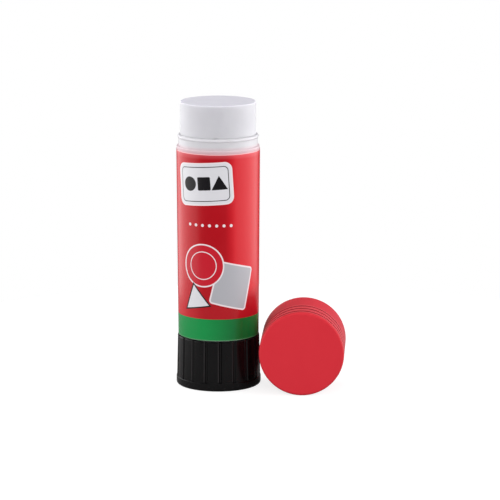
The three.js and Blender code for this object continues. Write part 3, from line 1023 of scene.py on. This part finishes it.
def make_cap():
    corners = [(0, 0, 0), (CAP_RADIUS, 0, 0.8)]
    for middle in CAP_GROOVES:
        corners += ring(CAP_RADIUS, middle, stands_out=-0.45, flat=0.9, flank=0.35, edge=0.1)
    catch = CAP_LENGTH - CATCH_FROM_MOUTH
    seat = CAP_LENGTH - (MOUTH_Z - SHOULDER_Z) - FIT_GAP
    corners += [
        (CAP_RADIUS, CAP_LENGTH, 0.22), (CAP_BORE, CAP_LENGTH, 0.2),
        *ring(CAP_BORE, catch, stands_out=-0.3, flat=0.4, flank=0.6, edge=0.15)[::-1],
        (CAP_BORE, seat, 0.15), (CAP_BORE - CAP_SEAT_STEP, seat, 0.15),
        (CAP_BORE - 1.0, CAP_END_THICKNESS, 0.6), (0, CAP_END_THICKNESS, 0),
    ]
    columns = np.linspace(0, 360, CAP_COLUMNS + 1)
    cap = turned("cap_moulding", traced(corners), CAP_LOOK, 1, columns)
    lay_down = Matrix.Rotation(-math.pi / 2, 4, "X")
    closed_end = Vector((CAP_AXIS.x, cap_low.y, CAP_AXIS.z)) * MM
    cap.data.transform(Matrix.Translation(closed_end) @ lay_down)
    return cap


cap = make_cap()
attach(cap, "cap_body")
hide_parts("cap")

# %% [markdown]
# ## The spindle
#
# The knob turns a spindle, and its left-hand screw lifts the glue. A screw is a section that follows a
# helix, so a second Geometry Nodes tree draws the helix, stands its section upright on it and sweeps it
# along. The ridge starts inside the flange and is cut off square under the tip. The splined foot is one
# tooth repeated eight times, the shank is turned, and unions make the three one solid.

# %% The tree that winds a ridge
def make_winding_tree():
    group, tree, given = new_node_group("wind a ridge", [
        ("Radius", "Float"), ("Lead", "Float"), ("Turns", "Float"), ("Steps", "Int"),
        ("Material", "Material")])
    height = Value(tree, given["Lead"]) * Value(tree, given["Turns"])
    helix = tree.value("GeometryNodeCurveSpiral", {
        "Resolution": given["Steps"], "Rotations": given["Turns"], "Height": height,
        "Start Radius": given["Radius"], "End Radius": given["Radius"]})
    upright = tree.value("GeometryNodeSetCurveNormal", {"Curve": helix}, mode="Z_UP")
    section = tree.value("GeometryNodeMeshToCurve", {"Mesh": given["Geometry"]})
    swept = tree.value("GeometryNodeCurveToMesh", {
        "Curve": upright, "Profile Curve": section, "Fill Caps": True})
    real = tree.value("GeometryNodeRealizeInstances", {"Geometry": swept})
    end_tree(tree, real, given["Material"])
    return group


WINDING_TREE = make_winding_tree()
LEAD = 4.0
CORE_RADIUS = 2.9
CREST_RADIUS = 3.8
HALF_FOOT = 1.1
HALF_CREST = 0.5
TURN_STEPS = 48


def wound(name, grow, start, turns, material):
    """A left-hand ridge whose middle starts at a height on the +X side; `grow` makes it fatter all round.

    The tree lays a section's X axis towards the helix's axis and its Y axis downwards. The section is sunk
    a little into the core, so that a union closes over it.
    """
    sunk, edge = 0.3, 0.12
    height = CREST_RADIUS - CORE_RADIUS
    half_crest = HALF_CREST + grow
    half_sunk = HALF_FOOT + grow + sunk * (HALF_FOOT - HALF_CREST) / height
    line = rounded([
        (sunk, half_sunk, 0), (-height, half_crest, edge),
        (-height, -half_crest, edge), (sunk, -half_sunk, 0)])
    section = bpy.data.meshes.new(name)
    edges = [(i, (i + 1) % len(line)) for i in range(len(line))]
    section.from_pydata([Vector((*point, 0)) * MM for point in line], edges, [])
    holder = new_piece(name, section)
    mesh = with_modifier(holder, "NODES", node_group=WINDING_TREE, inputs={
        "Radius": (CORE_RADIUS + grow) * MM, "Lead": LEAD * MM, "Turns": turns, "Steps": TURN_STEPS,
        "Material": material})
    bpy.data.objects.remove(holder)
    mesh.transform(Matrix.Translation((0, 0, start * MM)))
    ridge = new_piece(name, mesh)
    report(ridge)
    return ridge


# %% Spindle
spindle_low, spindle_high = (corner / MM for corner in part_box("spindle"))
TIP_HEIGHT = 1.0
THREAD_TOP_Z = spindle_high.z - TIP_HEIGHT
FLANGE_RADIUS = 6.2
FLANGE_THICKNESS = 1.6
FLANGE_TOP_Z = KNOB_TOP
FLANGE_Z = FLANGE_TOP_Z - FLANGE_THICKNESS
JOURNAL_RADIUS = FLOOR_HOLE_RADIUS - FIT_GAP
JOURNAL_TOP_Z = TUBE_FLOOR_Z + FIT_GAP
SPLINE_ROOT = 3.9
RIDGE_START = 4 * LEAD


def make_foot():
    """The splined foot, which ends inside the flange."""
    top = FLANGE_Z + 0.8
    profile = traced([
        (0, spindle_low.z, 0), (SPLINE_ROOT, spindle_low.z, 0.3), (SPLINE_ROOT, top, 0), (0, top, 0)])
    columns, teeth = spline_columns(SPLINE_ROOT)

    def toothed(radii, heights):
        return radii + SPLINE_HEIGHT * teeth * (radii > 0.9 * SPLINE_ROOT)

    return turned("foot", profile, INNER_LOOK, SPLINES, columns, toothed)


def make_shank():
    """The flange, the journal, the screw's core and its tip."""
    tip_foot, tip_end = 2.6, 1.4
    return turned("shank", traced([
        (0, FLANGE_Z, 0), (FLANGE_RADIUS, FLANGE_Z, 0.2), (FLANGE_RADIUS, FLANGE_TOP_Z, 0.2),
        (JOURNAL_RADIUS, FLANGE_TOP_Z, 0.15), (JOURNAL_RADIUS, JOURNAL_TOP_Z, 0.2),
        (CORE_RADIUS, JOURNAL_TOP_Z, 0.1), (CORE_RADIUS, THREAD_TOP_Z, 0.1), (tip_foot, THREAD_TOP_Z, 0),
        (tip_end, spindle_high.z, 0.15), (0, spindle_high.z, 0),
    ], 4.0), INNER_LOOK)


def make_ridge():
    """The screw's ridge, cut off under the tip by what it shares with a plain cylinder."""
    limit_radius = 6.0
    limit = turned("limit", np.array([
        (0, FLANGE_Z), (limit_radius, FLANGE_Z), (limit_radius, THREAD_TOP_Z), (0, THREAD_TOP_Z),
    ]), INNER_LOOK)
    turns = math.ceil((THREAD_TOP_Z - RIDGE_START) / LEAD) + 1
    return joined("ridge", wound("ridge", 0, RIDGE_START, turns, INNER_LOOK), limit, "INTERSECT")


spindle = joined("spindle_screw", joined("shank", make_shank(), make_foot()), make_ridge())
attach(spindle, "knob_body")
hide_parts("spindle")

# %% [markdown]
# ## The carrier
#
# The foot of the glue sits in a cup whose middle is a nut. Four notches in its rim run on the tube's ribs,
# so it can't turn, and four fins hold the glue. The nut's thread is cut with the spindle's own ridge, made
# fatter by the clearance, so the two always match.

# %% Carrier
THREAD_GAP = 0.25
NOTCH_RADIUS = BORE_RADIUS - RIB_DEPTH - FIT_GAP


def make_carrier():
    nut = CORE_RADIUS + THREAD_GAP
    profile = traced([
        (nut, CARRIER_Z, 0), (CARRIER_RADIUS, CARRIER_Z, 0.3), (CARRIER_RADIUS, CARRIER_TOP, 0.2),
        (CUP_RADIUS, CARRIER_TOP, 0.2), (CUP_RADIUS, CUP_FLOOR_Z, 0.3), (HUB_RADIUS, CUP_FLOOR_Z, 0.3),
        (HUB_RADIUS, CARRIER_TOP, 0.2), (nut, CARRIER_TOP, 0.1), (nut, CARRIER_Z, 0),
    ])
    columns, depth = columns_across(
        RIBS, CARRIER_RADIUS, foot=GROOVE_HALF + RIB_SLOPE, top=GROOVE_HALF - RIB_SLOPE, edges=(0.1, 0.1))

    def notched(radii, heights):
        return radii - (radii - NOTCH_RADIUS).clip(0) * depth

    cup = turned("cup", profile, INNER_LOOK, RIBS, columns, notched)
    fins = bars("fins", FIN_HALF, CUP_FLOOR_Z - 0.6, FIN_TOP_Z,
                HUB_RADIUS - 0.8, CUP_RADIUS + 0.3, FINS, INNER_LOOK)
    start = LEAD * math.floor(CARRIER_Z / LEAD - 1)
    turns = math.ceil((CARRIER_TOP - start) / LEAD) + 1
    thread = wound("thread", THREAD_GAP, start, turns, INNER_LOOK)
    return joined("carrier_moulding", joined("cup", cup, fins), thread, "DIFFERENCE")


carrier = make_carrier()
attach(carrier, "carrier_body")
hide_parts("glue_carrier")

# %% [markdown]
# ## The table
#
# The stick stands on a small round table, which keeps a faint shadow. A Light Path node lets the table glow
# only for the camera, so it looks white and throws no extra light on the object. The room behind it does
# the same.

# %% Table
TABLE_RADIUS = 0.17
TABLE_MIDDLE = Vector((0.015, 0.0, 0.0))
TABLE_GREY = 0.34
TABLE_GLOW = 0.8


def seen_directly(tree):
    """1 for what the camera sees, also through glass, and 0 for light that bounces."""
    path = tree.add("ShaderNodeLightPath").outputs
    return Value(tree, path["Is Camera Ray"]).above(Value(tree, path["Is Transmission Ray"]))


def make_table():
    turns = np.linspace(0, math.tau, 96, endpoint=False)
    outwards = [Vector((math.cos(turn), math.sin(turn), 0)) for turn in turns]
    corners = [tuple(TABLE_MIDDLE + TABLE_RADIUS * way) for way in outwards]
    mesh = bpy.data.meshes.new("table")
    mesh.from_pydata(corners, [], [tuple(range(len(corners)))])
    material, tree = new_look("table")
    plain = tree.value("ShaderNodeBsdfDiffuse", {"Color": (*[TABLE_GREY] * 3, 1)})
    glow = tree.value("ShaderNodeEmission", {"Strength": TABLE_GLOW})
    both = tree.value("ShaderNodeAddShader", {0: plain, 1: glow})
    shown = tree.value("ShaderNodeMixShader", {0: seen_directly(tree), 1: plain, 2: both})
    tree.add("ShaderNodeOutputMaterial", {"Surface": shown})
    mesh.materials.append(material)
    new_piece("table", mesh)
    print(f"table: {2 * TABLE_RADIUS / MM:.0f} mm across")


make_table()

# %% [markdown]
# ## The room
#
# A glossy label shows the room that it stands in. Straight behind the camera and straight behind the object
# this room is dim, and it is bright on both sides: that keeps the middle of the label deep red and gives
# its edges their pale streaks. A ramp holds the brightness from front to back, and light that isn't a
# mirror image is made stronger by SOFT_SHARE, so that the shine and the colours can be set apart.

# %% Room
# How bright the room is, from straight behind the object to straight behind the camera
ROOM = [(-1.0, 0.08), (-0.9, 0.15), (-0.72, 1.45), (-0.5, 1.5), (0.0, 1.1), (0.35, 0.85), (0.55, 0.7),
        (0.7, 0.12), (1.0, 0.04)]
ROOM_TOP = 0.15
BRIGHTEST = 1.5
SOFT_SHARE = 2.15


def make_room():
    world = bpy.data.worlds.new("studio")
    bpy.context.scene.world = world
    world.use_nodes = True
    world.node_tree.nodes.clear()
    tree = Tree(world.node_tree)
    towards = tree.add("ShaderNodeTexCoord").outputs["Generated"]
    parts = tree.add("ShaderNodeSeparateXYZ", {"Vector": towards}).outputs
    x, y, z = (Value(tree, part) for part in parts)
    level = x.hypot(y).above(0.01)
    front = (x * math.sin(AZIMUTH) - y * math.cos(AZIMUTH)) / level
    right = (x * math.cos(AZIMUTH) + y * math.sin(AZIMUTH)) / level
    stops = [((place + 1) / 2, (*[light / BRIGHTEST] * 3, 1)) for place, light in ROOM]
    ramp = tree.value("ShaderNodeValToRGB", {"Fac": (front - 0.1 * right) * 0.5 + 0.5}, stops=stops)
    upwards = ((z - 0.45) / 0.35).above(0).below(1)
    downwards = ((z + 0.25) / -0.25).above(0).below(1)
    room = ramp * BRIGHTEST * (1 - upwards) * (1 - 0.8 * downwards) + upwards * ROOM_TOP
    glossy = Value(tree, tree.add("ShaderNodeLightPath").outputs["Is Glossy Ray"])
    seen = seen_directly(tree)
    strength = seen + (1 - seen) * room * (glossy + (1 - glossy) * SOFT_SHARE)
    light = tree.value("ShaderNodeBackground", {"Color": (1, 1, 1, 1), "Strength": strength})
    tree.add("ShaderNodeOutputWorld", {"Surface": light})
    print(f"room: {len(ROOM)} levels of light, the brightest {BRIGHTEST}")


make_room()

# %% [markdown]
# ## The lamps
#
# Two large soft lamps finish the light. The one in front lifts the colours of the faces that look at the
# camera. It is kept out of reflections, where it would lay a bright window on the label. The weaker one
# overhead lights the tops.

# %% Lamps
def make_lamp(name, azimuth, elevation, distance, size, power, shines=True):
    """A soft rectangular lamp that faces the object. `shines` says whether reflections show it."""
    data = bpy.data.lights.new(name, "AREA")
    data.shape = "RECTANGLE"
    data.size, data.size_y = size
    data.energy = power
    place = AIM + distance * direction(math.radians(azimuth), math.radians(elevation))
    lamp = looking(bpy.data.objects.new(name, data), place, AIM)
    lamp.visible_camera = False
    lamp.visible_glossy = shines
    print(f"{name}: {power} W")


make_lamp("front fill", 0, 20, 1.1, (0.9, 0.6), 7.3, False)
make_lamp("top softbox", 20, 80, 0.9, (0.6, 0.6), 0.7)
bpy.context.scene.view_settings.view_transform = "Standard"
